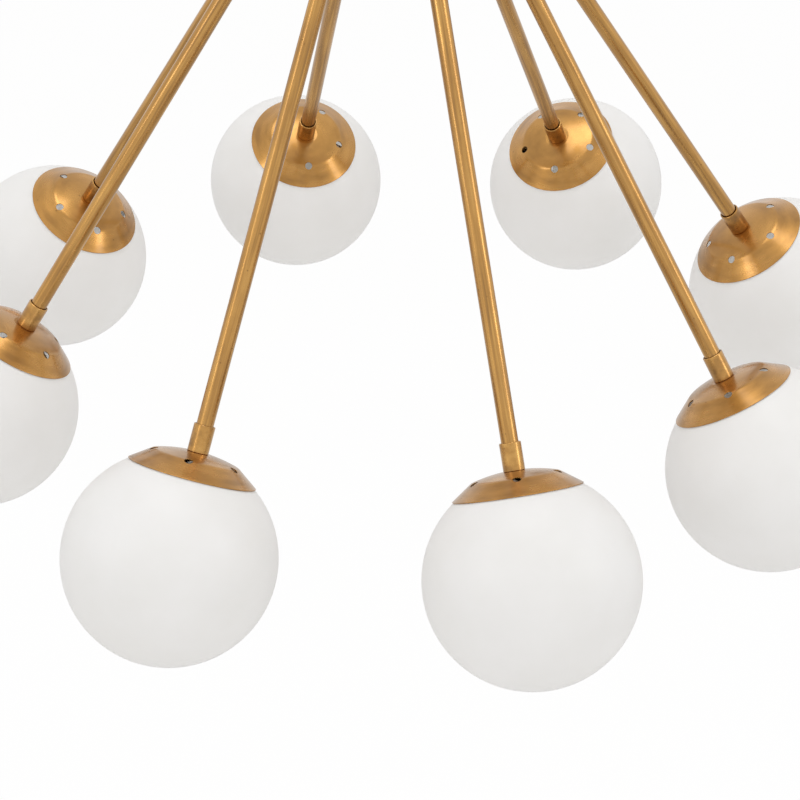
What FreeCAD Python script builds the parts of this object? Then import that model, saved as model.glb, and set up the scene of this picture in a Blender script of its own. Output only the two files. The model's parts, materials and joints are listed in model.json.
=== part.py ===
import FreeCAD, Part
import math
import os

# Eight-arm globe chandelier. Millimetres, +Z up, origin at the centre of the
# ceiling face, so everything hangs below z = 0. Eight straight brass tubes fan
# out and down from one turned hub; each ends in a collar, a vented brass dome
# and an opal glass ball. The hub hangs from the ceiling on a two-part stem and
# a swivel that lets it turn and hang straight.

# ---------------------------------------------------------------- arms and fan
ARM_REACH = 589.3          # hub centre to globe centre, along the arm
ARM_SPREAD = 32.64         # degrees between an arm and straight down
FIRST_ARM_TURN = -119.4    # degrees about +Z, from +X, of arm 1
# Each arm leaves the hub a little off the even fan: extra turn about +Z, extra
# spread, and how far its dome is turned about the arm, all in degrees.
ARM_SETTINGS = [
    (0.0, -0.6, 20.5),
    (1.75, -0.5, 17.5),
    (-2.0, -0.1, 12.0),
    (0.0, 0.8, 10.5),
    (0.0, 0.4, 53.5),
    (0.7, -0.7, 29.0),
    (1.1, 0.2, 69.0),
    (0.0, 0.6, 47.5),
]

# ------------------------------------------------------------- tube and thread
TUBE_RADIUS = 6.0
TUBE_BORE_RADIUS = 4.5
THREAD_RADIUS = 5.0        # M10 lamp thread, drawn plain
THREAD_BORE_RADIUS = 3.5   # wire way through a threaded nipple
THREAD_PLAY = 0.05         # radial play of a thread in its hole
THREAD_GRIP = 12.0         # how far a nipple screws into a tube
NUT_FLATS = 14.0
NUT_HEIGHT = 4.5
HOLE_PLAY = 0.2            # radial play of a nipple in a plain hole
NIPPLE_PAST_NUT = 1.0      # thread that shows past a nut inside the hub

# ------------------------------------------------------------------ glass globe
GLOBE_RADIUS = 74.7
GLOBE_WALL = 2.5
MOUTH_RADIUS = 38.0

# ----------------------------------------------------------------- vented dome
DOME_RIM_RADIUS = 45.0
DOME_SHEET = 0.7
DOME_CROWN_RADIUS = 105.0  # curvature of the shallow crown
DOME_CROWN_HEIGHT = 75.9   # crown above the globe's centre
DOME_FLANK_ANGLE = 35.5    # degrees between the flank and the rim's plane
DOME_SHOULDER_RADIUS = 7.0
DOME_LAND_RADIUS = 10.0    # flat land under the collar
DOME_SEAT_GAP = 0.3        # dome's rim to the glass
VENT_COUNT = 5
VENT_RADIUS = 3.0
VENT_CIRCLE_RADIUS = 30.0
VENT_PUNCH = 12.0          # how far the punch runs past the sheet, each way

# ---------------------------------------------------------------------- collar
COLLAR_RADIUS = 7.5
COLLAR_BORE_RADIUS = 6.6
COLLAR_LENGTH = 19.5
COLLAR_WEB = 5.0           # solid, threaded foot of the collar
COLLAR_EDGE = 0.4          # small bevel on both ends

# ----------------------------------------------------------------- spring clip
CLIP_SHEET = 0.5
CLIP_PLATE_RADIUS = 9.0
CLIP_LEG_COUNT = 3
CLIP_LEG_WIDTH = 10.0
CLIP_LEG_DROP = 3.5        # step down beside the lock nut
CLIP_TIP_LENGTH = 9.0      # straight tip inside the mouth
CLIP_MOUTH_GAP = 0.3       # tip to the glass
CLIP_OVER_MOUTH = 0.6      # leg above the top of the glass

# ------------------------------------------------------------------ lampholder
HOLDER_RADIUS = 13.0
HOLDER_NECK_RADIUS = 9.0
HOLDER_NECK_LENGTH = 11.0
HOLDER_LENGTH = 42.0
HOLDER_THREAD_DEPTH = 9.0
HOLDER_FLOOR = 5.0         # between the thread hole and the lamp's socket
HOLDER_MOUTH_RADIUS = 11.3
HOLDER_MOUTH_DEPTH = 9.0
HOLDER_EDGE = 1.5

# ------------------------------------------------------------------------ bulb
BULB_RADIUS = 22.5
BULB_CAP_RADIUS = 6.9      # over the crests of the screw cap
BULB_CAP_GROOVE = 0.5
BULB_CAP_PITCH = 2.82
BULB_CAP_TURNS = 5
BULB_TIP_RADIUS = 3.2
BULB_TIP_HEIGHT = 2.5
BULB_NECK_RADIUS = 9.0
BULB_NECK_ANGLE = 52.0     # degrees above the ball's middle where the neck meets it
BULB_NECK_HOLLOW = 0.6     # how far the neck curves in
BULB_LENGTH = 76.0
BULB_SOCKET_GAP = 0.3      # cap to the lampholder, all round and at the tip
BULB_CAP_SKIRT = 3.0       # plain cap between the screw part and the glass

# ------------------------------------------------------------------------- hub
HUB_RADIUS = 55.0
HUB_WALL = 3.0
ARM_BOSS_RADIUS = 8.2
ARM_BOSS_HEIGHT = 2.0      # boss above the ball
ARM_SEAT_DEPTH = 1.5       # inner seat below the ball's inside
STEM_BOSS_RADIUS = 9.5
RIM_LIP_LENGTH = 8.0       # lip of the lower bowl inside the upper one
RIM_LIP_WALL = 2.5
RIM_LIP_PLAY = 0.1
RIM_SCREW_COUNT = 3
RIM_SCREW_RADIUS = 1.5
RIM_SCREW_HEAD_RADIUS = 2.8
RIM_SCREW_HEAD_HEIGHT = 1.6
RIM_SCREW_FIRST_TURN = 30.0
RIM_SCREW_PLAY = 0.1
BLOCK_RADIUS = 20.0        # terminal block at the hub's centre
BLOCK_TOP = 6.0            # above the hub's centre
BLOCK_HEIGHT = 20.0
BLOCK_SOCKET_DEPTH = 9.0
BLOCK_EDGE = 1.0

# ------------------------------------------------------------------------ leads
ARM_LEAD_RADIUS = 2.25
STEM_LEAD_RADIUS = 2.8
CEILING_LEAD_BEND = 6.5
CEILING_LEAD_RISE = 1.0    # straight lead before and after its bend

# ------------------------------------------------------------------------ stem
STEM_UPPER_LENGTH = 300.0
STEM_LOWER_LENGTH = 300.0

# --------------------------------------------------------- ceiling and swivel
CROSSBAR_SHEET = 2.5
CROSSBAR_WIDTH = 22.0
CROSSBAR_LENGTH = 112.0
CROSSBAR_DROP = 20.0       # ceiling to the top of the dropped middle
CROSSBAR_MIDDLE_HALF = 31.0
CROSSBAR_RAMP = 4.0        # how far each end leans out
SLOT_SPACING = 90.0
SLOT_WIDTH = 5.0
SLOT_LENGTH = 14.0
NIPPLE_ABOVE_NUT = 2.0
CANOPY_RADIUS = 70.0
CANOPY_HEIGHT = 35.0
CANOPY_SHEET = 1.2
CANOPY_CORNER_RADIUS = 25.0
CANOPY_HOLE_RADIUS = 13.6
SLEEVE_RADIUS = 12.9
SLEEVE_TOP_GAP = 1.0       # lower crossbar nut to the sleeve
SLEEVE_THREAD_DEPTH = 10.0
SLEEVE_CAVITY_RADIUS = 9.0
SLEEVE_CAVITY_DEPTH = 12.0
SLEEVE_LIP = 4.0
SLEEVE_LIP_BORE_GAP = 0.05 # running fit round the swivel's neck
RING_RADIUS = 18.0
RING_HEIGHT = 8.0
RING_GAP = 0.25            # lock ring to the sleeve
RING_GRIPS = 24
RING_GRIP_RADIUS = 0.9
YOKE_HEAD_RADIUS = 8.4
YOKE_HEAD_HEIGHT = 4.0
YOKE_NECK_RADIUS = 6.0
YOKE_FACE_GAP = 0.3
YOKE_CROWN = 5.0
YOKE_RADIUS = 12.5
YOKE_EAR = 4.0             # thickness of an ear
YOKE_EAR_HALF_WIDTH = 7.0
PIVOT_BELOW_CROWN = 11.0
EAR_BELOW_PIVOT = 8.0
PIVOT_RADIUS = 2.0
PIVOT_GAP = 0.05           # running fit of the knuckle on its screws
KNUCKLE_RADIUS = 7.2
KNUCKLE_EAR_GAP = 0.3
KNUCKLE_SHOULDER_RADIUS = 9.5
KNUCKLE_SHOULDER = 3.0
KNUCKLE_LENGTH = 20.0      # pivot to the stem's top end
TILT_LIMIT = 12.0          # degrees each way, where the shoulder meets the ears
TILT_STOP_GAP = 0.15
SUPPLY_BLOCK_START = 9.0   # from the nipple's axis to the block
SUPPLY_BLOCK = (19.0, 16.0, 8.0)

# ------------------------------------------------- heights that follow from them
SPHERE = GLOBE_RADIUS + DOME_SEAT_GAP
dome_flank = math.radians(DOME_FLANK_ANGLE)
dome_crown_centre = DOME_CROWN_HEIGHT - DOME_CROWN_RADIUS
dome_land_top = dome_crown_centre + math.sqrt(DOME_CROWN_RADIUS**2 - DOME_LAND_RADIUS**2)
dome_land_under = dome_land_top - DOME_SHEET
mouth_top = math.sqrt(GLOBE_RADIUS**2 - MOUTH_RADIUS**2)

arm_tube_foot = dome_land_top + COLLAR_WEB
cap_nut_top = dome_land_under - CLIP_SHEET
holder_top = cap_nut_top - NUT_HEIGHT
holder_bottom = holder_top - HOLDER_LENGTH
holder_thread_floor = holder_top - HOLDER_THREAD_DEPTH
socket_top = holder_thread_floor - HOLDER_FLOOR
bulb_tip = socket_top - BULB_SOCKET_GAP
bulb_bottom = bulb_tip - BULB_LENGTH
bulb_centre = bulb_bottom + BULB_RADIUS

boss_face = HUB_RADIUS + ARM_BOSS_HEIGHT
arm_seat = HUB_RADIUS - HUB_WALL - ARM_SEAT_DEPTH

crossbar_under = -CROSSBAR_DROP - CROSSBAR_SHEET
ceiling_nipple_top = -CROSSBAR_DROP + NUT_HEIGHT + NIPPLE_ABOVE_NUT
sleeve_top = crossbar_under - NUT_HEIGHT - SLEEVE_TOP_GAP
ceiling_nipple_foot = sleeve_top - SLEEVE_THREAD_DEPTH
sleeve_lip_top = ceiling_nipple_foot - SLEEVE_CAVITY_DEPTH
sleeve_foot = sleeve_lip_top - SLEEVE_LIP
yoke_crown_top = sleeve_foot - YOKE_FACE_GAP
yoke_crown_under = yoke_crown_top - YOKE_CROWN
pivot_z = yoke_crown_under - PIVOT_BELOW_CROWN
ear_gap_half = KNUCKLE_RADIUS + KNUCKLE_EAR_GAP
ear_foot = pivot_z - EAR_BELOW_PIVOT
ear_corner = math.hypot(YOKE_EAR_HALF_WIDTH, EAR_BELOW_PIVOT)
ear_corner_angle = math.atan2(YOKE_EAR_HALF_WIDTH, EAR_BELOW_PIVOT)
stop_reach = ear_corner * math.cos(ear_corner_angle - math.radians(TILT_LIMIT))
knuckle_shoulder_top = pivot_z - stop_reach - TILT_STOP_GAP
stem_top = pivot_z - KNUCKLE_LENGTH
stem_joint = stem_top - STEM_UPPER_LENGTH
stem_foot = stem_joint - STEM_LOWER_LENGTH
stem_boss_face = stem_foot - COLLAR_WEB
hub_z = stem_boss_face - boss_face

CEILING = FreeCAD.Vector(0, 0, 0)
UP = FreeCAD.Vector(0, 0, 1)
ALONG_X = FreeCAD.Vector(1, 0, 0)
ALONG_Y = FreeCAD.Vector(0, 1, 0)
hub_centre = FreeCAD.Vector(0, 0, hub_z)


# ------------------------------------------------------------------ shape tools
CUT_PAST = 1.0             # how far a cutting shape runs past the face it cuts


def rod(radius, low, high):
    """Round bar about Z between two heights."""
    return Part.makeCylinder(radius, high - low, FreeCAD.Vector(0, 0, low), UP)


def sleeve(radius, bore, low, high):
    """Round bar with a bore right through it."""
    return rod(radius, low, high).cut(rod(bore, low - CUT_PAST, high + CUT_PAST))


def bevelled(radius, low, high, edge):
    """Round bar with a bevel on both ends."""
    outline = [(0, low), (radius - edge, low), (radius, low + edge)]
    outline += [(radius, high - edge), (radius - edge, high), (0, high)]
    return turned(lines(outline))


def point(across, height):
    return FreeCAD.Vector(across, 0, height)


def lines(outline):
    """Straight edges round a closed outline of (radius, height) pairs."""
    corners = [point(*p) for p in outline]
    pairs = zip(corners, corners[1:] + corners[:1])
    return [Part.LineSegment(a, b).toShape() for a, b in pairs]


def run(a, b):
    return Part.LineSegment(point(*a), point(*b)).toShape()


def bow(a, middle, b):
    return Part.Arc(point(*a), point(*middle), point(*b)).toShape()


def turned(edges):
    """Solid turned about Z from the edges of a half section."""
    face = Part.Face(Part.Wire(edges))
    return face.revolve(CEILING, UP, 360)


def on_circle(centre, radius, angle):
    """Point of a circle in the half section; the angle is from the outward way."""
    return (centre[0] + radius * math.cos(angle), centre[1] + radius * math.sin(angle))


def bow_on(centre, radius, start, end):
    """Arc of a circle between two angles."""
    middle = (start + end) / 2
    return bow(*[on_circle(centre, radius, angle) for angle in (start, middle, end)])


def hexagon(low):
    """Lock nut with a flat facing +Y, threaded for the nipple."""
    top = low + NUT_HEIGHT
    corner = NUT_FLATS / 2 / math.cos(math.radians(30))
    outline = []
    for step in range(7):
        angle = math.radians(60 * step)
        outline.append(FreeCAD.Vector(corner * math.cos(angle), corner * math.sin(angle), low))
    nut = Part.Face(Part.makePolygon(outline)).extrude(UP * NUT_HEIGHT)
    return nut.cut(rod(THREAD_RADIUS + THREAD_PLAY, low - CUT_PAST, top + CUT_PAST))


def nipple(low, high):
    return sleeve(THREAD_RADIUS, THREAD_BORE_RADIUS, low, high)


def joined(first, *others):
    """One solid from pieces that touch or overlap."""
    for other in others:
        first = first.fuse(other)
    return first.removeSplitter()


def spun_about(shape, axis, degrees):
    copy = shape.copy()
    copy.rotate(CEILING, axis, degrees)
    return copy


# ------------------------------------------------------------- the eight places
def arm_place(index):
    """Placement that puts a piece, made about the globe's centre with +Z up the
    arm, on its arm."""
    turn, spread, _ = ARM_SETTINGS[index]
    about = FIRST_ARM_TURN + index * 360.0 / len(ARM_SETTINGS) + turn
    lean = ARM_SPREAD + spread
    rotation = FreeCAD.Rotation(UP, about).multiply(FreeCAD.Rotation(ALONG_Y, -lean))
    up_the_arm = rotation.multVec(UP)
    return FreeCAD.Placement(hub_centre - up_the_arm * ARM_REACH, rotation)


def on_arm(shape, index, turn=0.0):
    copy = spun_about(shape, UP, turn) if turn else shape.copy()
    copy.Placement = arm_place(index).multiply(copy.Placement)
    return copy


def on_every_arm(shape):
    return Part.makeCompound([on_arm(shape, i) for i in range(len(ARM_SETTINGS))])


def from_hub(distance):
    """Height in an arm's own frame of a point this far from the hub's centre."""
    return ARM_REACH - distance


# ------------------------------------------------------------- pieces of an arm
def arm_tube():
    low = arm_tube_foot
    high = from_hub(boss_face)
    tube = sleeve(TUBE_RADIUS, TUBE_BORE_RADIUS, low, high)
    thread = THREAD_RADIUS + THREAD_PLAY
    tube = tube.cut(rod(thread, low - CUT_PAST, low + THREAD_GRIP))
    return tube.cut(rod(thread, high - THREAD_GRIP, high + CUT_PAST))


def collar(foot):
    """Sleeve that hides a tube's threaded end; its web carries the thread."""
    body = bevelled(COLLAR_RADIUS, foot, foot + COLLAR_LENGTH, COLLAR_EDGE)
    body = body.cut(rod(COLLAR_BORE_RADIUS, foot + COLLAR_WEB, foot + COLLAR_LENGTH + CUT_PAST))
    web_top = foot + COLLAR_WEB
    return body.cut(rod(THREAD_RADIUS + THREAD_PLAY, foot - CUT_PAST, web_top + CUT_PAST))


def cap_nipple():
    return nipple(holder_thread_floor, arm_tube_foot + THREAD_GRIP)


def dome_section():
    """Half section of the pressed dome: crown, rounded shoulder, straight flank
    and a rounded rim that stands DOME_SEAT_GAP off the glass."""
    sheet = DOME_SHEET
    out = (math.sin(dome_flank), math.cos(dome_flank))
    rim_across = DOME_RIM_RADIUS - sheet / 2
    rim_height = math.sqrt((SPHERE + sheet / 2) ** 2 - rim_across**2)
    rim_outer = (rim_across + out[0] * sheet / 2, rim_height + out[1] * sheet / 2)
    rim_inner = (rim_across - out[0] * sheet / 2, rim_height - out[1] * sheet / 2)
    rim_end = (rim_across + out[1] * sheet / 2, rim_height - out[0] * sheet / 2)

    # The shoulder's circle touches the flank's line and the crown's circle.
    start = (
        rim_outer[0] - out[0] * DOME_SHOULDER_RADIUS,
        rim_outer[1] - out[1] * DOME_SHOULDER_RADIUS - dome_crown_centre,
    )
    along = (-out[1], out[0])
    half = start[0] * along[0] + start[1] * along[1]
    reach = DOME_CROWN_RADIUS - DOME_SHOULDER_RADIUS
    step = -half - math.sqrt(half**2 - (start[0] ** 2 + start[1] ** 2 - reach**2))
    if step < 0:
        step = -half + math.sqrt(half**2 - (start[0] ** 2 + start[1] ** 2 - reach**2))
    shoulder = (start[0] + along[0] * step, start[1] + along[1] * step + dome_crown_centre)
    crown = (0.0, dome_crown_centre)
    flank_angle = math.atan2(out[1], out[0])
    crown_angle = math.atan2(shoulder[1] - crown[1], shoulder[0])

    edges = []
    sides = []
    for inset in (0.0, sheet):
        land = dome_land_top - inset
        radius = DOME_CROWN_RADIUS - inset
        land_across = math.sqrt(radius**2 - (land - dome_crown_centre) ** 2)
        land_angle = math.atan2(land - dome_crown_centre, land_across)
        rim = rim_outer if inset == 0.0 else rim_inner
        turn_radius = DOME_SHOULDER_RADIUS - inset
        hole = THREAD_RADIUS + HOLE_PLAY
        edges.append(run((hole, land), (land_across, land)))
        edges.append(bow_on(crown, radius, land_angle, crown_angle))
        edges.append(bow_on(shoulder, turn_radius, crown_angle, flank_angle))
        edges.append(run(on_circle(shoulder, turn_radius, flank_angle), rim))
        sides.append((hole, land))
    edges.append(bow(rim_outer, rim_end, rim_inner))
    edges.append(run(*sides))
    return edges


def shade_cap():
    dome = turned(Part.__sortEdges__(dome_section()))
    for step in range(VENT_COUNT):
        angle = math.radians(step * 360.0 / VENT_COUNT)
        across = FreeCAD.Vector(math.cos(angle), math.sin(angle), 0)
        # Punched square to the crown at the vent circle.
        crown = FreeCAD.Vector(0, 0, dome_crown_centre)
        height = math.sqrt(DOME_CROWN_RADIUS**2 - VENT_CIRCLE_RADIUS**2)
        way = across * VENT_CIRCLE_RADIUS + UP * height
        way.normalize()
        start = crown + way * (DOME_CROWN_RADIUS - VENT_PUNCH)
        dome = dome.cut(Part.makeCylinder(VENT_RADIUS, 2 * VENT_PUNCH, start, way))
    return dome


def globe():
    """Ball with an open, fire-rounded mouth."""
    outer = GLOBE_RADIUS
    inner = GLOBE_RADIUS - GLOBE_WALL
    bead = GLOBE_WALL / 2
    middle = outer - bead
    bead_across = MOUTH_RADIUS + bead
    bead_angle = math.acos(bead_across / middle)
    centre = (0.0, 0.0)
    bead_centre = on_circle(centre, middle, bead_angle)
    low = -math.pi / 2
    edges = [
        bow_on(centre, outer, low, bead_angle),
        bow(
            on_circle(centre, outer, bead_angle),
            on_circle(bead_centre, bead, bead_angle + math.pi / 2),
            on_circle(centre, inner, bead_angle),
        ),
        bow_on(centre, inner, bead_angle, low),
        run((0.0, -inner), (0.0, -outer)),
    ]
    return turned(edges)


def spring_clip():
    """Pressed spring: a plate under the dome and three legs whose straight tips
    stand inside the globe's mouth."""
    top = dome_land_under
    tip_reach = MOUTH_RADIUS - CLIP_MOUTH_GAP
    tip_face = math.sqrt(tip_reach**2 - (CLIP_LEG_WIDTH / 2) ** 2)
    tip_across = tip_face - CLIP_SHEET / 2
    bend = mouth_top + CLIP_OVER_MOUTH
    middle = top - CLIP_SHEET / 2
    route = [
        (0.0, middle),
        (CLIP_PLATE_RADIUS - CLIP_SHEET, middle),
        (CLIP_PLATE_RADIUS + CLIP_LEG_DROP, middle - CLIP_LEG_DROP),
        (tip_across - CLIP_SHEET, bend),
        (tip_across, bend - CLIP_SHEET),
        (tip_across, bend - CLIP_TIP_LENGTH),
    ]
    leg = strip(route, CLIP_SHEET, CLIP_LEG_WIDTH)
    clip = rod(CLIP_PLATE_RADIUS - CLIP_SHEET, top - CLIP_SHEET, top)
    for step in range(CLIP_LEG_COUNT):
        clip = clip.fuse(spun_about(leg, UP, step * 360.0 / CLIP_LEG_COUNT))
    hole = rod(THREAD_RADIUS + HOLE_PLAY, top - CLIP_SHEET - CUT_PAST, top + CUT_PAST)
    return clip.cut(hole).removeSplitter()


def strip(route, thickness, width):
    """Flat strip of even thickness along a route of (across, height) points."""
    ways = []
    for a, b in zip(route, route[1:]):
        size = math.hypot(b[0] - a[0], b[1] - a[1])
        ways.append(((b[0] - a[0]) / size, (b[1] - a[1]) / size))
    left, right = [], []
    for i, corner in enumerate(route):
        before = ways[max(i - 1, 0)]
        after = ways[min(i, len(ways) - 1)]
        normal = (-(before[1] + after[1]), before[0] + after[0])
        size = math.hypot(*normal)
        square = (before[0] * after[0] + before[1] * after[1] + 1) / 2
        reach = thickness / 2 / math.sqrt(square) / size
        left.append((corner[0] + normal[0] * reach, corner[1] + normal[1] * reach))
        right.append((corner[0] - normal[0] * reach, corner[1] - normal[1] * reach))
    outline = [point(*p) for p in left + right[::-1]]
    face = Part.Face(Part.makePolygon(outline + outline[:1]))
    face.translate(ALONG_Y * (-width / 2))
    return face.extrude(ALONG_Y * width)


def lampholder():
    edge = HOLDER_EDGE
    neck_foot = holder_top - HOLDER_NECK_LENGTH
    outline = [
        (0, holder_bottom),
        (HOLDER_RADIUS - edge, holder_bottom),
        (HOLDER_RADIUS, holder_bottom + edge),
        (HOLDER_RADIUS, neck_foot - (HOLDER_RADIUS - HOLDER_NECK_RADIUS)),
        (HOLDER_NECK_RADIUS, neck_foot),
        (HOLDER_NECK_RADIUS, holder_top),
        (0, holder_top),
    ]
    body = turned(lines(outline))
    body = body.cut(rod(THREAD_RADIUS + THREAD_PLAY, holder_thread_floor, holder_top + CUT_PAST))
    socket = BULB_CAP_RADIUS + BULB_SOCKET_GAP
    body = body.cut(rod(socket, holder_bottom - CUT_PAST, socket_top))
    mouth_floor = holder_bottom + HOLDER_MOUTH_DEPTH
    return body.cut(rod(HOLDER_MOUTH_RADIUS, holder_bottom - CUT_PAST, mouth_floor))


def bulb():
    """Ball lamp with its screw cap; the cap's thread is drawn as rings."""
    crest = BULB_CAP_RADIUS
    root = crest - BULB_CAP_GROOVE
    edges = [run((0.0, bulb_tip), (BULB_TIP_RADIUS, bulb_tip))]
    here = (root, bulb_tip - BULB_TIP_HEIGHT)
    edges.append(run((BULB_TIP_RADIUS, bulb_tip), here))
    for _ in range(BULB_CAP_TURNS):
        after = (root, here[1] - BULB_CAP_PITCH)
        edges.append(bow(here, (crest, here[1] - BULB_CAP_PITCH / 2), after))
        here = after
    skirt = (root, here[1] - BULB_CAP_SKIRT)
    edges.append(run(here, skirt))
    # The neck widens from the cap until it meets the ball.
    neck = (BULB_NECK_RADIUS, skirt[1] - BULB_CAP_SKIRT)
    edges.append(run(skirt, neck))
    meet = math.radians(BULB_NECK_ANGLE)
    centre = (0.0, bulb_centre)
    ball_start = on_circle(centre, BULB_RADIUS, meet)
    halfway = (
        (neck[0] + ball_start[0]) / 2 - BULB_NECK_HOLLOW,
        (neck[1] + ball_start[1]) / 2 - BULB_NECK_HOLLOW,
    )
    edges.append(bow(neck, halfway, ball_start))
    edges.append(bow_on(centre, BULB_RADIUS, meet, -math.pi / 2))
    edges.append(run((0.0, bulb_bottom), (0.0, bulb_tip)))
    return turned(edges)


def arm_lead(index):
    """Lead through one arm, from the lampholder to the hub's terminal block."""
    lead = rod(ARM_LEAD_RADIUS, holder_thread_floor, from_hub(0))
    lead = on_arm(lead, index)
    under_block = hub_z + BLOCK_TOP - BLOCK_HEIGHT
    size = 2 * HUB_RADIUS
    corner = FreeCAD.Vector(-HUB_RADIUS, -HUB_RADIUS, under_block)
    return lead.cut(Part.makeBox(size, size, size, corner))


# --------------------------------------------------------------------- the hub
def hub_ball():
    """Hollow ball about the origin; each bowl is cut from it, then lifted in place."""
    outer = Part.makeSphere(HUB_RADIUS)
    inner = Part.makeSphere(HUB_RADIUS - HUB_WALL)
    return outer.cut(inner)


def hub_half(ball, upper):
    size = 4 * HUB_RADIUS
    height = 0.0 if upper else -size
    box = Part.makeBox(size, size, size, FreeCAD.Vector(-size / 2, -size / 2, height))
    return ball.common(box)


def rim_screw_places():
    for step in range(RIM_SCREW_COUNT):
        yield RIM_SCREW_FIRST_TURN + step * 360.0 / RIM_SCREW_COUNT


def across_rim(radius, start, end):
    """Round bar along +X at the height of the rim screws."""
    height = RIM_LIP_LENGTH / 2
    return Part.makeCylinder(radius, end - start, FreeCAD.Vector(start, 0, height), ALONG_X)


def rim_screw_head_seat():
    height = RIM_LIP_LENGTH / 2
    face = math.sqrt(HUB_RADIUS**2 - (height + RIM_SCREW_HEAD_RADIUS) ** 2)
    return face - RIM_SCREW_HEAD_HEIGHT


def hub_upper_bowl():
    bowl = hub_half(hub_ball(), True)
    boss = rod(STEM_BOSS_RADIUS, HUB_RADIUS - HUB_WALL - ARM_SEAT_DEPTH, boss_face)
    bowl = bowl.fuse(boss)
    bowl = bowl.cut(rod(THREAD_RADIUS + HOLE_PLAY, 0, boss_face + CUT_PAST))
    seat = rim_screw_head_seat()
    for turn in rim_screw_places():
        hole = across_rim(RIM_SCREW_RADIUS + RIM_SCREW_PLAY, 0, HUB_RADIUS + CUT_PAST)
        recess = across_rim(RIM_SCREW_HEAD_RADIUS + RIM_SCREW_PLAY, seat, HUB_RADIUS + CUT_PAST)
        bowl = bowl.cut(spun_about(hole.fuse(recess), UP, turn))
    bowl.translate(hub_centre)
    return bowl.removeSplitter()


def rim_lip_radius():
    """Outside of the lip that stands up inside the upper bowl."""
    inside = HUB_RADIUS - HUB_WALL - RIM_LIP_PLAY
    return math.sqrt(inside**2 - RIM_LIP_LENGTH**2)


def hub_lower_bowl():
    lip_bore = rim_lip_radius() - RIM_LIP_WALL
    root = sleeve(HUB_RADIUS - HUB_WALL / 2, lip_bore, -RIM_LIP_LENGTH, 0)
    lip = sleeve(rim_lip_radius(), lip_bore, -RIM_LIP_LENGTH, RIM_LIP_LENGTH)
    bowl = joined(hub_half(hub_ball(), False), root, lip)
    for turn in rim_screw_places():
        hole = across_rim(RIM_SCREW_RADIUS + THREAD_PLAY, 0, HUB_RADIUS - HUB_WALL / 2)
        bowl = bowl.cut(spun_about(hole, UP, turn))
    bowl.translate(hub_centre)
    high = from_hub(arm_seat)
    boss = rod(ARM_BOSS_RADIUS, from_hub(boss_face), high)
    hole = rod(THREAD_RADIUS + HOLE_PLAY, from_hub(boss_face) - CUT_PAST, high + CUT_PAST)
    for i in range(len(ARM_SETTINGS)):
        bowl = bowl.fuse(on_arm(boss, i))
    for i in range(len(ARM_SETTINGS)):
        bowl = bowl.cut(on_arm(hole, i))
    return bowl.removeSplitter()


def rim_screws():
    seat = rim_screw_head_seat()
    shank = across_rim(RIM_SCREW_RADIUS, rim_lip_radius() - RIM_LIP_WALL, seat)
    head = across_rim(RIM_SCREW_HEAD_RADIUS, seat, seat + RIM_SCREW_HEAD_HEIGHT)
    screw = joined(shank, head)
    screws = [spun_about(screw, UP, turn) for turn in rim_screw_places()]
    group = Part.makeCompound(screws)
    group.translate(hub_centre)
    return group


def hub_nipple():
    """From inside the terminal block up into the foot of the stem."""
    low = hub_z + BLOCK_TOP - BLOCK_SOCKET_DEPTH
    return nipple(low, stem_foot + THREAD_GRIP)


def terminal_block():
    top = hub_z + BLOCK_TOP
    block = bevelled(BLOCK_RADIUS, top - BLOCK_HEIGHT, top, BLOCK_EDGE)
    return block.cut(rod(THREAD_RADIUS + THREAD_PLAY, top - BLOCK_SOCKET_DEPTH, top + CUT_PAST))


def arm_nipples():
    """The nipples of both ends of every arm tube."""
    foot = cap_nipple()
    head = nipple(from_hub(boss_face) - THREAD_GRIP, from_hub(arm_seat) + NUT_HEIGHT + NIPPLE_PAST_NUT)
    return Part.makeCompound([on_every_arm(foot), on_every_arm(head)])


def lock_nuts():
    nuts = [on_every_arm(hexagon(holder_top)), on_every_arm(hexagon(from_hub(arm_seat)))]
    nuts.append(hexagon(hub_z + arm_seat - NUT_HEIGHT))
    nuts.append(hexagon(hub_z + BLOCK_TOP))
    return Part.makeCompound(nuts)


# -------------------------------------------------------------------- the stem
def stem_tube(low, high):
    tube = sleeve(TUBE_RADIUS, TUBE_BORE_RADIUS, low, high)
    thread = THREAD_RADIUS + THREAD_PLAY
    tube = tube.cut(rod(thread, low - CUT_PAST, low + THREAD_GRIP))
    return tube.cut(rod(thread, high - THREAD_GRIP, high + CUT_PAST))


def stem_lead():
    low = hub_z + BLOCK_TOP - BLOCK_SOCKET_DEPTH
    return rod(STEM_LEAD_RADIUS, low, pivot_z)


# ------------------------------------------------------------ ceiling and swivel
def crossbar():
    """Strip bent down in the middle, slotted at both feet for ceiling screws."""
    half = CROSSBAR_LENGTH / 2
    ramp = CROSSBAR_MIDDLE_HALF + CROSSBAR_RAMP
    top = -CROSSBAR_SHEET / 2
    low = -CROSSBAR_DROP - CROSSBAR_SHEET / 2
    route = [(-half, top), (-ramp, top), (-CROSSBAR_MIDDLE_HALF, low)]
    route += [(CROSSBAR_MIDDLE_HALF, low), (ramp, top), (half, top)]
    bar = strip(route, CROSSBAR_SHEET, CROSSBAR_WIDTH)
    for side in (-1, 1):
        centre = side * SLOT_SPACING / 2
        straight = (SLOT_LENGTH - SLOT_WIDTH) / 2
        corner = FreeCAD.Vector(centre - straight, -SLOT_WIDTH / 2, -CROSSBAR_SHEET - CUT_PAST)
        slot = Part.makeBox(2 * straight, SLOT_WIDTH, CROSSBAR_SHEET + 2 * CUT_PAST, corner)
        for end in (-straight, straight):
            tip = rod(SLOT_WIDTH / 2, -CROSSBAR_SHEET - CUT_PAST, CUT_PAST)
            tip.translate(FreeCAD.Vector(centre + end, 0, 0))
            slot = slot.fuse(tip)
        bar = bar.cut(slot)
    hole = rod(THREAD_RADIUS + HOLE_PLAY, crossbar_under - CUT_PAST, 0)
    return bar.cut(hole)


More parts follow.
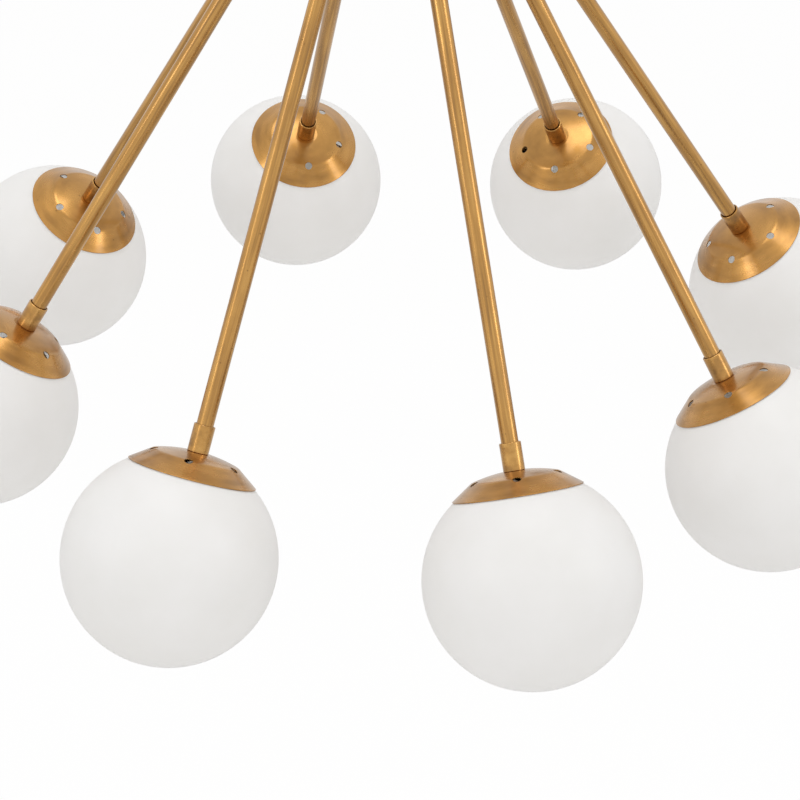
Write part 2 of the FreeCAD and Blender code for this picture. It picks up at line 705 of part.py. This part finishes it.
def crossbar_nuts():
    return Part.makeCompound([hexagon(-CROSSBAR_DROP), hexagon(crossbar_under - NUT_HEIGHT)])


def supply_block():
    """Terminal block that stands on the crossbar's dropped middle."""
    long, wide, high = SUPPLY_BLOCK
    corner = FreeCAD.Vector(SUPPLY_BLOCK_START, -wide / 2, -CROSSBAR_DROP)
    block = Part.makeBox(long, wide, high, corner)
    edges = [e for e in block.Edges if abs(e.BoundBox.ZLength - high) < 0.01]
    return block.makeFillet(BLOCK_EDGE, edges)


def ceiling_lead():
    """From the swivel's socket up the nipple and over into the supply block."""
    block_top = -CROSSBAR_DROP + SUPPLY_BLOCK[2]
    start = max(ceiling_nipple_top, block_top) + CEILING_LEAD_RISE
    up = rod(ARM_LEAD_RADIUS, ceiling_nipple_foot, start)
    circle = Part.Wire(Part.makeCircle(ARM_LEAD_RADIUS, FreeCAD.Vector(0, 0, start), UP))
    centre = FreeCAD.Vector(CEILING_LEAD_BEND, 0, start)
    over = Part.Face(circle).revolve(centre, ALONG_Y, 180)
    down = rod(ARM_LEAD_RADIUS, block_top, start)
    down.translate(ALONG_X * (2 * CEILING_LEAD_BEND))
    return joined(up, over, down)


def swivel_sleeve():
    body = bevelled(SLEEVE_RADIUS, sleeve_foot, sleeve_top, COLLAR_EDGE)
    body = body.cut(rod(THREAD_RADIUS + THREAD_PLAY, ceiling_nipple_foot, sleeve_top + CUT_PAST))
    body = body.cut(rod(SLEEVE_CAVITY_RADIUS, sleeve_lip_top, ceiling_nipple_foot))
    lip_bore = YOKE_NECK_RADIUS + SLEEVE_LIP_BORE_GAP
    return body.cut(rod(lip_bore, sleeve_foot - CUT_PAST, sleeve_lip_top + CUT_PAST))


def canopy():
    outer = CANOPY_RADIUS
    corner = CANOPY_CORNER_RADIUS
    centre = (outer - corner, corner - CANOPY_HEIGHT)
    inner = outer - CANOPY_SHEET
    floor = -CANOPY_HEIGHT
    hole = CANOPY_HOLE_RADIUS
    quarter = -math.pi / 2
    edges = [
        run((outer, 0), (outer, centre[1])),
        bow_on(centre, corner, 0, quarter),
        run((centre[0], floor), (hole, floor)),
        run((hole, floor), (hole, floor + CANOPY_SHEET)),
        run((hole, floor + CANOPY_SHEET), (centre[0], floor + CANOPY_SHEET)),
        bow_on(centre, corner - CANOPY_SHEET, quarter, 0),
        run((inner, centre[1]), (inner, 0)),
        run((inner, 0), (outer, 0)),
    ]
    return turned(edges)


def canopy_lock_ring():
    high = -CANOPY_HEIGHT
    low = high - RING_HEIGHT
    ring = bevelled(RING_RADIUS, low, high, COLLAR_EDGE)
    ring = ring.cut(rod(SLEEVE_RADIUS + RING_GAP, low - CUT_PAST, high + CUT_PAST))
    for step in range(RING_GRIPS):
        groove = rod(RING_GRIP_RADIUS, low - CUT_PAST, high + CUT_PAST)
        groove.translate(ALONG_X * RING_RADIUS)
        ring = ring.cut(spun_about(groove, UP, step * 360.0 / RING_GRIPS))
    return ring


def swivel_yoke():
    """Turns in the sleeve; its two ears carry the pivot screws."""
    head = rod(YOKE_HEAD_RADIUS, sleeve_lip_top, sleeve_lip_top + YOKE_HEAD_HEIGHT)
    neck = rod(YOKE_NECK_RADIUS, yoke_crown_under, sleeve_lip_top + YOKE_HEAD_HEIGHT)
    crown = rod(YOKE_RADIUS, yoke_crown_under, yoke_crown_top)
    yoke = joined(head, neck, crown)
    wide = 2 * YOKE_EAR_HALF_WIDTH
    for start in (ear_gap_half, -ear_gap_half - YOKE_EAR - CUT_PAST):
        corner = FreeCAD.Vector(start, -YOKE_EAR_HALF_WIDTH, ear_foot)
        ear = Part.makeBox(YOKE_EAR + CUT_PAST, wide, yoke_crown_top - ear_foot, corner)
        yoke = yoke.fuse(ear)
    yoke = yoke.common(rod(YOKE_RADIUS, ear_foot - CUT_PAST, sleeve_top))
    yoke = yoke.cut(rod(THREAD_BORE_RADIUS, yoke_crown_under - CUT_PAST, sleeve_top))
    reach = YOKE_RADIUS + CUT_PAST
    screw_hole = across_pivot(PIVOT_RADIUS + THREAD_PLAY, -reach, reach)
    return yoke.cut(screw_hole).removeSplitter()


def across_pivot(radius, start, end):
    return Part.makeCylinder(radius, end - start, FreeCAD.Vector(start, 0, pivot_z), ALONG_X)


def pivot_screws():
    reach = math.sqrt(YOKE_RADIUS**2 - PIVOT_RADIUS**2)
    tip = THREAD_BORE_RADIUS + PIVOT_GAP
    pair = [across_pivot(PIVOT_RADIUS, tip, reach), across_pivot(PIVOT_RADIUS, -reach, -tip)]
    return Part.makeCompound(pair)


def swivel_knuckle():
    """Tongue on the pivot screws, stop shoulder, and a thread for the stem."""
    body = rod(KNUCKLE_RADIUS, stem_top, pivot_z)
    tongue = across_pivot(KNUCKLE_RADIUS, -KNUCKLE_RADIUS, KNUCKLE_RADIUS)
    round_top = rod(KNUCKLE_RADIUS, pivot_z - CUT_PAST, pivot_z + KNUCKLE_RADIUS)
    body = body.fuse(tongue.common(round_top))
    low = knuckle_shoulder_top - KNUCKLE_SHOULDER
    body = body.fuse(rod(KNUCKLE_SHOULDER_RADIUS, low, knuckle_shoulder_top))
    body = body.fuse(rod(THREAD_RADIUS, stem_top - THREAD_GRIP, stem_top))
    high = pivot_z + KNUCKLE_RADIUS + CUT_PAST
    bore = rod(THREAD_BORE_RADIUS, stem_top - THREAD_GRIP - CUT_PAST, high)
    body = body.cut(bore)
    reach = KNUCKLE_RADIUS + CUT_PAST
    hole = across_pivot(PIVOT_RADIUS + PIVOT_GAP, -reach, reach)
    return body.cut(hole).removeSplitter()


# -------------------------------------------------------------------- the parts
def pieces():
    """Every named piece, in the order in which the light goes together."""
    yield "ceiling_crossbar", crossbar()
    yield "ceiling_nipple", nipple(ceiling_nipple_foot, ceiling_nipple_top)
    yield "crossbar_nuts", crossbar_nuts()
    yield "supply_terminal_block", supply_block()
    yield "ceiling_lead", ceiling_lead()
    yield "swivel_sleeve", swivel_sleeve()
    yield "canopy", canopy()
    yield "canopy_lock_ring", canopy_lock_ring()
    yield "swivel_yoke", swivel_yoke()
    yield "swivel_pivot_screws", pivot_screws()
    yield "swivel_knuckle", swivel_knuckle()
    yield "stem_tube_upper", stem_tube(stem_joint, stem_top)
    yield "stem_joint_nipple", nipple(stem_joint - THREAD_GRIP, stem_joint + THREAD_GRIP)
    yield "stem_tube_lower", stem_tube(stem_foot, stem_joint)
    yield "stem_lead", stem_lead()
    yield "stem_collar", collar(stem_boss_face)
    yield "hub_nipple", hub_nipple()
    yield "hub_upper_bowl", hub_upper_bowl()
    yield "hub_lower_bowl", hub_lower_bowl()
    yield "hub_rim_screws", rim_screws()
    yield "hub_terminal_block", terminal_block()
    yield "lock_nuts", lock_nuts()
    yield "arm_nipples", arm_nipples()
    yield "arm_collars", on_every_arm(collar(dome_land_top))
    yield "globe_spring_clips", on_every_arm(spring_clip())
    yield "lampholders", on_every_arm(lampholder())
    count = len(ARM_SETTINGS)
    yield "arm_leads", Part.makeCompound([arm_lead(i) for i in range(count)])
    repeated = {
        "arm_tube": arm_tube(),
        "shade_cap": shade_cap(),
        "bulb": bulb(),
        "glass_globe": globe(),
    }
    for name, shape in repeated.items():
        for i in range(count):
            turn = ARM_SETTINGS[i][2] if name == "shade_cap" else 0.0
            yield f"{name}_{i + 1}", on_arm(shape, i, turn)


os.makedirs("parts", exist_ok=True)
for piece_name, piece in pieces():
    if not piece.isValid() or not piece.Solids:
        raise ValueError(f"{piece_name} is not a sound solid")
    piece.exportStep(f"parts/{piece_name}.step")
    print(f"{piece_name}: {len(piece.Solids)} solid(s), {piece.Volume / 1000:.2f} cm3")
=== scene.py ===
import json
import math

import bpy
from mathutils import Matrix, Vector


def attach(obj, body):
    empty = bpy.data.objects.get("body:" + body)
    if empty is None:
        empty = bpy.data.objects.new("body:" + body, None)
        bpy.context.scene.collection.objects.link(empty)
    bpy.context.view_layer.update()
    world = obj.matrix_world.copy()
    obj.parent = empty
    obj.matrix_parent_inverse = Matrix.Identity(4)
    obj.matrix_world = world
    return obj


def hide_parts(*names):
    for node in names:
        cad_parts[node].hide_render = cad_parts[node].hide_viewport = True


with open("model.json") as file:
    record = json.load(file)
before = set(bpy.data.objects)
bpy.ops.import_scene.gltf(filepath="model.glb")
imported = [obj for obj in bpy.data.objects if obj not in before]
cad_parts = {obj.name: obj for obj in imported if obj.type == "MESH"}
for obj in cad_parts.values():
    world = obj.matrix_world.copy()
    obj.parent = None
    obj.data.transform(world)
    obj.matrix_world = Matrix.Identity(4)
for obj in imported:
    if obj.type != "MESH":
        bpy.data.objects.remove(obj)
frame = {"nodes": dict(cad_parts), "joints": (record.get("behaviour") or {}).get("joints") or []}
scene = bpy.context.scene
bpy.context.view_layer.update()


# ---------------------------------------------------------------- ceiling crossbar
# The pressed steel bar, its nuts and the threaded nipple that hang from the ceiling.
# Zinc-plated steel: a cool grey with the faint cloudiness of a plating bath.


def linear(code):
    """The linear colour of an sRGB hex colour."""
    channels = [int(code[i : i + 2], 16) / 255 for i in (1, 3, 5)]
    return [
        c / 12.92 if c <= 0.04045 else ((c + 0.055) / 1.055) ** 2.4 for c in channels
    ] + [1.0]


def node(tree, kind, inputs=None, **settings):
    """Adds a shader node. An input is a value, or another node's output to link."""
    made = tree.nodes.new("ShaderNode" + kind)
    for key, value in settings.items():
        setattr(made, key, value)
    for key, value in (inputs or {}).items():
        if isinstance(value, bpy.types.NodeSocket):
            tree.links.new(value, made.inputs[key])
        else:
            made.inputs[key].default_value = value
    return made


def blank(name):
    """A new material with its empty node tree."""
    material = bpy.data.materials.new(name)
    material.use_nodes = True
    material.node_tree.nodes.clear()
    return material, material.node_tree


def ramp(tree, factor, *stops):
    """A colour ramp over the factor, from pairs of position and hex colour."""
    made = node(tree, "ValToRGB", {"Fac": factor})
    points = made.color_ramp.elements
    while len(points) < len(stops):
        points.new(0.5)
    for point, (position, code) in zip(points, stops):
        point.position = position
        point.color = linear(code)
    return made.outputs["Color"]


def spread(tree, factor, low, high):
    """The factor from 0 to 1 made into a number from low to high."""
    made = node(tree, "MapRange", {"Value": factor, "To Min": low, "To Max": high})
    return made.outputs["Result"]


def grain(tree, where, size, detail=3.0, roughness=0.55):
    """Noise whose cells are about as wide as the size, in metres."""
    made = node(
        tree,
        "TexNoise",
        {
            "Vector": where,
            "Scale": 1 / size,
            "Detail": detail,
            "Roughness": roughness,
        },
    )
    return made.outputs["Fac"]


def surface(
    tree, colour, roughness, metallic=0.0, relief=None, depth=0.0, edge=0.0, **more
):
    """The shader and output of a material.

    relief is a height map and depth its height; edge rounds the sharp edges in the
    shading. Both are in metres.
    """
    inputs = {"Base Color": colour, "Roughness": roughness, "Metallic": metallic}
    inputs.update({key.replace("_", " "): value for key, value in more.items()})
    if relief is not None:
        bump = node(tree, "Bump", {"Height": relief, "Distance": depth})
        inputs["Normal"] = bump.outputs["Normal"]
        if edge:
            rounded = node(tree, "Bevel", {"Radius": edge}, samples=4)
            tree.links.new(rounded.outputs["Normal"], bump.inputs["Normal"])
    shader = node(tree, "BsdfPrincipled", inputs)
    node(tree, "OutputMaterial", {"Surface": shader.outputs["BSDF"]})


def dress(names, material):
    """Gives one material to whole nodes of the frame."""
    for name in names:
        mesh = frame["nodes"][name].data
        mesh.materials.clear()
        mesh.materials.append(material)


zinc, tree = blank("zinc_plated_steel_satin")
where = node(tree, "TexCoord").outputs["Object"]
bath = grain(tree, where, 0.012)
surface(
    tree,
    ramp(tree, bath, (0.3, "#A9ABAA"), (0.7, "#C6C7C3")),
    spread(tree, grain(tree, where, 0.002), 0.28, 0.42),
    metallic=1.0,
    relief=grain(tree, where, 0.0006),
    depth=0.00002,
)
dress(["ceiling_crossbar", "crossbar_nuts", "ceiling_nipple"], zinc)


# ---------------------------------------------------------------- terminal blocks and leads
# White moulded terminal blocks, in the canopy and in the hub, and the round leads
# inside the tubes. Matt plastic and soft PVC sheath, both a little yellowed.

moulding, tree = blank("white_moulded_plastic_matt")
where = node(tree, "TexCoord").outputs["Object"]
surface(
    tree,
    ramp(tree, grain(tree, where, 0.008), (0.3, "#DAD7CD"), (0.7, "#E4E2DA")),
    spread(tree, grain(tree, where, 0.001), 0.42, 0.55),
    relief=grain(tree, where, 0.0005),
    depth=0.00002,
)
dress(["supply_terminal_block", "hub_terminal_block"], moulding)

sheath, tree = blank("white_pvc_sheath_matt")
where = node(tree, "TexCoord").outputs["Object"]
surface(
    tree,
    ramp(tree, grain(tree, where, 0.015), (0.3, "#CFCBBE"), (0.7, "#DDDACF")),
    spread(tree, grain(tree, where, 0.002), 0.5, 0.65),
    relief=grain(tree, where, 0.0007),
    depth=0.00003,
)
dress(["ceiling_lead", "stem_lead", "arm_leads"], sheath)


# ---------------------------------------------------------------- canopy and its fixings
# The spun ceiling cup, the sleeve that it slides on and the ring that locks it.
# Aged brass: gold rubbed through a brown patina, under a satin clear lacquer.


def blend(tree, factor, first, second):
    """One colour mixed into another; a colour is a socket or a hex code."""
    colours = [linear(c) if isinstance(c, str) else c for c in (first, second)]
    inputs = {0: factor, 6: colours[0], 7: colours[1]}
    return node(tree, "Mix", inputs, data_type="RGBA").outputs[2]


BRASS_SPECK_SPACING = 0.006
BRASS_EDGE = 0.0003  # how far a sharp brass edge is rubbed round


def aged_brass(name, place, turn, streak, gold, dark=0.55):
    """Aged brass whose streaks follow the piece's own Z axis.

    place and turn set that axis, streak is a streak's width and length in metres,
    gold its three tones, and dark how far the brown patina covers them.
    """
    material, tree = blank(name)
    where = node(tree, "TexCoord").outputs["Object"]
    wide, long = streak
    scale = (wide, wide, long)
    inputs = {"Vector": where, "Location": place, "Rotation": turn, "Scale": scale}
    along = node(tree, "Mapping", inputs, vector_type="TEXTURE").outputs["Vector"]
    drawn = grain(tree, along, 1.0, detail=4.0)
    rubbed = ramp(tree, drawn, (0.32, gold[0]), (0.50, gold[1]), (0.68, gold[2]))

    cloud = grain(tree, where, 0.030, detail=4.0)
    brown = blend(tree, spread(tree, cloud, -0.5, dark), rubbed, "#8A5F33")

    spots = node(tree, "TexVoronoi", {"Vector": where, "Scale": 1 / BRASS_SPECK_SPACING})
    limits = {"From Min": 0.05, "From Max": 0.13, "To Min": 0.7, "To Max": 0.0}
    limits["Value"] = spots.outputs["Distance"]
    spot = node(tree, "MapRange", limits).outputs["Result"]
    limits = {"Value": grain(tree, where, 0.013), "From Min": 0.54, "From Max": 0.62}
    few = node(tree, "MapRange", limits).outputs["Result"]
    speck = node(tree, "Math", {0: spot, 1: few}, operation="MULTIPLY").outputs["Value"]
    surface(
        tree,
        blend(tree, speck, brown, "#4A3018"),
        spread(tree, drawn, 0.34, 0.22),
        metallic=1.0,
        relief=grain(tree, along, 0.25, detail=2.0),
        depth=0.000008,
        edge=BRASS_EDGE,
        Coat_Weight=0.5,
        Coat_Roughness=0.14,
    )
    return material


UPRIGHT = (0.0, 0.0, 0.0)
DRAWN_TONES = ("#97703D", "#B68746", "#CB9C56")
SPUN_TONES = ("#9C7138", "#AF8040", "#BE8D4A")
# The width and length of a streak, in metres.
SPUN_STREAK = (0.02, 0.006)
DRAWN_STREAK = (0.002, 0.070)

spun_brass = aged_brass("aged_brass_spun", UPRIGHT, UPRIGHT, SPUN_STREAK, SPUN_TONES)
dress(["canopy", "canopy_lock_ring"], spun_brass)

drawn_brass = aged_brass(
    "aged_brass_drawn", UPRIGHT, UPRIGHT, DRAWN_STREAK, DRAWN_TONES
)
dress(["swivel_sleeve"], drawn_brass)


# ---------------------------------------------------------------- swivel
# The turned yoke, the knuckle that tilts in it and the two pivot screws.
# The same aged brass, turned from bar, so that it is clouded without streaks.

TURNED_STREAK = (0.009, 0.009)

turned_brass = aged_brass(
    "aged_brass_turned", UPRIGHT, UPRIGHT, TURNED_STREAK, DRAWN_TONES
)
dress(["swivel_yoke", "swivel_knuckle", "swivel_pivot_screws"], turned_brass)


# ---------------------------------------------------------------- stem
# Two drawn tubes on a threaded nipple and a collar, down to the hub.
# Aged brass tube with its streaks upright; the nipples are plain plated steel.

dress(["stem_tube_upper", "stem_tube_lower"], drawn_brass)
dress(["stem_collar"], turned_brass)
dress(["stem_joint_nipple", "hub_nipple"], zinc)


# ---------------------------------------------------------------- hub
# Two spun bowls that meet at a rim, closed by three small screws.
# Aged brass spun like the canopy, with the lock nuts and nipples of the arms inside.

dress(["hub_upper_bowl", "hub_lower_bowl"], spun_brass)
dress(["hub_rim_screws"], turned_brass)
dress(["lock_nuts", "arm_nipples"], zinc)


# ---------------------------------------------------------------- arms and collars
# Eight drawn tubes and the turned collar at the end of each, down to its shade cap.
# Aged brass with streaks along each arm, so that every tube has a material of its own.

HUB_CENTRE = Vector((0.0, 0.0, -0.7523))
ARMS = range(1, 9)

down_arm = {
    joint["name"]: Vector(joint["axis"])
    for joint in frame["joints"]
    if joint["name"].endswith("_pull_off")
}
arm_turn = {
    i: (-down_arm[f"globe_{i}_pull_off"]).to_track_quat("Z", "Y").to_euler() for i in ARMS
}
for i in ARMS:
    name = f"aged_brass_arm_{i}"
    brass = aged_brass(name, HUB_CENTRE, arm_turn[i], DRAWN_STREAK, DRAWN_TONES)
    dress([f"arm_tube_{i}"], brass)
dress(["arm_collars"], turned_brass)


# ---------------------------------------------------------------- shade caps
# The spun domes with five vent holes, one on each arm, that carry the globes.
# Aged brass, mottled rather than streaked, and less brown than the tubes.

CAP_STREAK = (0.03, 0.006)
CAP_DARK = 0.35

for i in ARMS:
    name = f"aged_brass_cap_{i}"
    brass = aged_brass(
        name, HUB_CENTRE, arm_turn[i], CAP_STREAK, SPUN_TONES, CAP_DARK
    )
    dress([f"shade_cap_{i}"], brass)

# The photo shows a vent of the second dome right under its collar, so that dome's
# copy is turned about its arm.
VENT_TURN = 39.0  # degrees
way = down_arm["globe_2_pull_off"]
about = Matrix.Rotation(math.radians(-VENT_TURN), 4, way)
to_hub = Matrix.Translation(HUB_CENTRE)
mesh = frame["nodes"]["shade_cap_2"].data.copy()
mesh.transform(to_hub @ about @ to_hub.inverted())
dome = bpy.data.objects.new("shade_cap_2_turned", mesh)
scene.collection.objects.link(dome)
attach(dome, "hanging_frame")
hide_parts("shade_cap_2")


# ---------------------------------------------------------------- clips and lampholders
# A bright spring steel clip under each dome, and the porcelain lampholder in the globe.
# Rolled steel with a fine grain; glazed white porcelain with a faint warm cloud.

spring, tree = blank("spring_steel_bright")
where = node(tree, "TexCoord").outputs["Object"]
surface(
    tree,
    ramp(tree, grain(tree, where, 0.006), (0.3, "#A3A5A8"), (0.7, "#B9BABC")),
    spread(tree, grain(tree, where, 0.0015), 0.2, 0.34),
    metallic=1.0,
    relief=grain(tree, where, 0.0004),
    depth=0.00001,
)
dress(["globe_spring_clips"], spring)

porcelain, tree = blank("white_porcelain_glazed")
where = node(tree, "TexCoord").outputs["Object"]
surface(
    tree,
    ramp(tree, grain(tree, where, 0.010), (0.3, "#E3E1DB"), (0.7, "#EBEAE5")),
    spread(tree, grain(tree, where, 0.003), 0.12, 0.22),
    relief=grain(tree, where, 0.002),
    depth=0.00003,
)
dress(["lampholders"], porcelain)


# ---------------------------------------------------------------- bulbs
# Small round LED lamps: a frosted white ball above a nickel screw cap.
# One mesh each, so the material changes from cap to ball by the distance along the arm.

BULB_CAP_LENGTH = 0.0196

for i in ARMS:
    way = down_arm[f"globe_{i}_pull_off"]
    points = frame["nodes"][f"bulb_{i}"].data.vertices
    tip = min((point.co - HUB_CENTRE).dot(way) for point in points)
    material, tree = blank(f"frosted_plastic_and_nickel_bulb_{i}")
    where = node(tree, "TexCoord").outputs["Object"]
    inputs = {0: where, 1: HUB_CENTRE}
    from_hub = node(tree, "VectorMath", inputs, operation="SUBTRACT").outputs["Vector"]
    inputs = {0: from_hub, 1: way}
    far = node(tree, "VectorMath", inputs, operation="DOT_PRODUCT").outputs["Value"]
    inputs = {0: far, 1: tip + BULB_CAP_LENGTH}
    cap = node(tree, "Math", inputs, operation="LESS_THAN").outputs["Value"]
    frost = ramp(tree, grain(tree, where, 0.010), (0.3, "#ECEBE7"), (0.7, "#F2F1EE"))
    nickel = ramp(tree, grain(tree, where, 0.004), (0.3, "#B9B5AC"), (0.7, "#CDCAC2"))
    surface(
        tree,
        blend(tree, cap, frost, nickel),
        spread(tree, grain(tree, where, 0.004), 0.30, 0.42),
        metallic=cap,
    )
    dress([f"bulb_{i}"], material)


# ---------------------------------------------------------------- globes
# Eight blown opal balls, open at the top inside the dome, held by the spring clips.
# Opal glass etched to a satin skin: nearly white, warm grey, with a soft pale edge.

# The share of the light that goes on through each face of the wall.
OUTER_FACE_PASSES = 0.25
INNER_FACE_PASSES = 0.95

opal, tree = blank("opal_glass_etched_satin")
where = node(tree, "TexCoord").outputs["Object"]
milk = ramp(tree, grain(tree, where, 0.045), (0.3, "#F3F2F0"), (0.7, "#F6F5F4"))
inputs = {"Height": grain(tree, where, 0.0008), "Distance": 0.000008}
etched = node(tree, "Bump", inputs).outputs["Normal"]
satin = spread(tree, grain(tree, where, 0.030), 0.34, 0.42)
inputs = {"Base Color": milk, "Roughness": satin, "IOR": 1.5, "Normal": etched}
skin = node(tree, "BsdfPrincipled", inputs).outputs["BSDF"]
body = node(tree, "BsdfTranslucent", {"Color": milk, "Normal": etched}).outputs["BSDF"]
# Light that has entered the wall leaves it, so its two faces act as one sheet of glass.
behind = node(tree, "NewGeometry").outputs["Backfacing"]
passed = spread(tree, behind, OUTER_FACE_PASSES, INNER_FACE_PASSES)
glass = node(tree, "MixShader", {0: passed, 1: skin, 2: body}).outputs["Shader"]
node(tree, "OutputMaterial", {"Surface": glass})
dress([f"glass_globe_{i}" for i in ARMS], opal)


# ---------------------------------------------------------------- floor, light and camera
# A pale floor far below, a soft even white studio and the camera of the photo,
# which looks down at 32 degrees from just under the ceiling.

FLOOR_LEVEL = -2.4
FLOOR_HALF = 9.0
FLOOR_WHITE = 0.92  # how far the floor is burnt out to white where it is seen
FLOOR_IN_METAL = 0.8  # its brightness in the brass, against 1.0 in the picture
SKY_LIGHT = 0.92
SKY_SEEN = 1.0


def seen_rays(tree):
    """1 for the rays of the camera, of a reflection or through glass, and 0 for others."""
    ray = node(tree, "LightPath").outputs
    pair = {0: ray["Is Camera Ray"], 1: ray["Is Glossy Ray"]}
    either = node(tree, "Math", pair, operation="MAXIMUM").outputs["Value"]
    pair = {0: either, 1: ray["Is Transmission Ray"]}
    return node(tree, "Math", pair, operation="MAXIMUM").outputs["Value"]


bpy.ops.mesh.primitive_plane_add(size=2 * FLOOR_HALF, location=(0, 0, FLOOR_LEVEL))
floor = bpy.context.active_object
floor.name = "floor"
paper, tree = blank("floor_paper_white")
where = node(tree, "TexCoord").outputs["Object"]
pale = ramp(tree, grain(tree, where, 0.4), (0.3, "#F1F0EE"), (0.7, "#F5F4F3"))
matt = node(tree, "BsdfDiffuse", {"Color": pale})
glossy = node(tree, "LightPath").outputs["Is Glossy Ray"]
level = spread(tree, glossy, 1.0, FLOOR_IN_METAL)
glow = node(tree, "Emission", {"Color": (1, 1, 1, 1), "Strength": level})
inputs = {0: seen_rays(tree), 1: FLOOR_WHITE}
share = node(tree, "Math", inputs, operation="MULTIPLY").outputs["Value"]
inputs = {0: share, 1: matt.outputs["BSDF"], 2: glow.outputs["Emission"]}
mixed = node(tree, "MixShader", inputs).outputs["Shader"]
node(tree, "OutputMaterial", {"Surface": mixed})
floor.data.materials.append(paper)

world = bpy.data.worlds.new("studio")
scene.world = world
world.use_nodes = True
tree = world.node_tree
tree.nodes.clear()
strength = spread(tree, seen_rays(tree), SKY_LIGHT, SKY_SEEN)
sky = node(tree, "Background", {"Color": (1, 1, 1, 1), "Strength": strength})
node(tree, "OutputWorld", {"Surface": sky.outputs["Background"]})

AIM = Vector((0.0, 0.0, -0.85))
SOFTBOXES = {  # place, width, height and power of each
    "softbox_left": ((-2.3, -1.6, 0.5), 0.6, 1.6, 9.0),
    "softbox_right": ((2.4, -0.9, 0.1), 0.5, 1.6, 8.0),
    "softbox_top": ((0.0, 0.3, 1.4), 1.4, 1.4, 13.0),
    "softbox_low": ((0.0, -2.2, -2.1), 2.0, 0.8, 2.5),
}
for name, (place, width, height, power) in SOFTBOXES.items():
    lamp = bpy.data.lights.new(name, "AREA")
    lamp.shape = "RECTANGLE"
    lamp.size = width
    lamp.size_y = height
    lamp.energy = power
    box = bpy.data.objects.new(name, lamp)
    box.location = place
    box.rotation_euler = (AIM - box.location).to_track_quat("-Z", "Y").to_euler()
    scene.collection.objects.link(box)

CAMERA_PLACE = (0.00435, -1.646, -0.2663)
CAMERA_PITCH = 31.98  # degrees below the horizon
SENSOR_WIDTH = 36.0
FOCAL_LENGTH = 110.86
camera = bpy.data.cameras.new("camera")
camera.sensor_fit = "HORIZONTAL"
camera.sensor_width = SENSOR_WIDTH
camera.lens = FOCAL_LENGTH
viewer = bpy.data.objects.new("camera", camera)
viewer.location = CAMERA_PLACE
viewer.rotation_euler = (math.radians(90 - CAMERA_PITCH), 0, 0)
scene.collection.objects.link(viewer)
scene.camera = viewer
scene.view_settings.view_transform = "Standard"
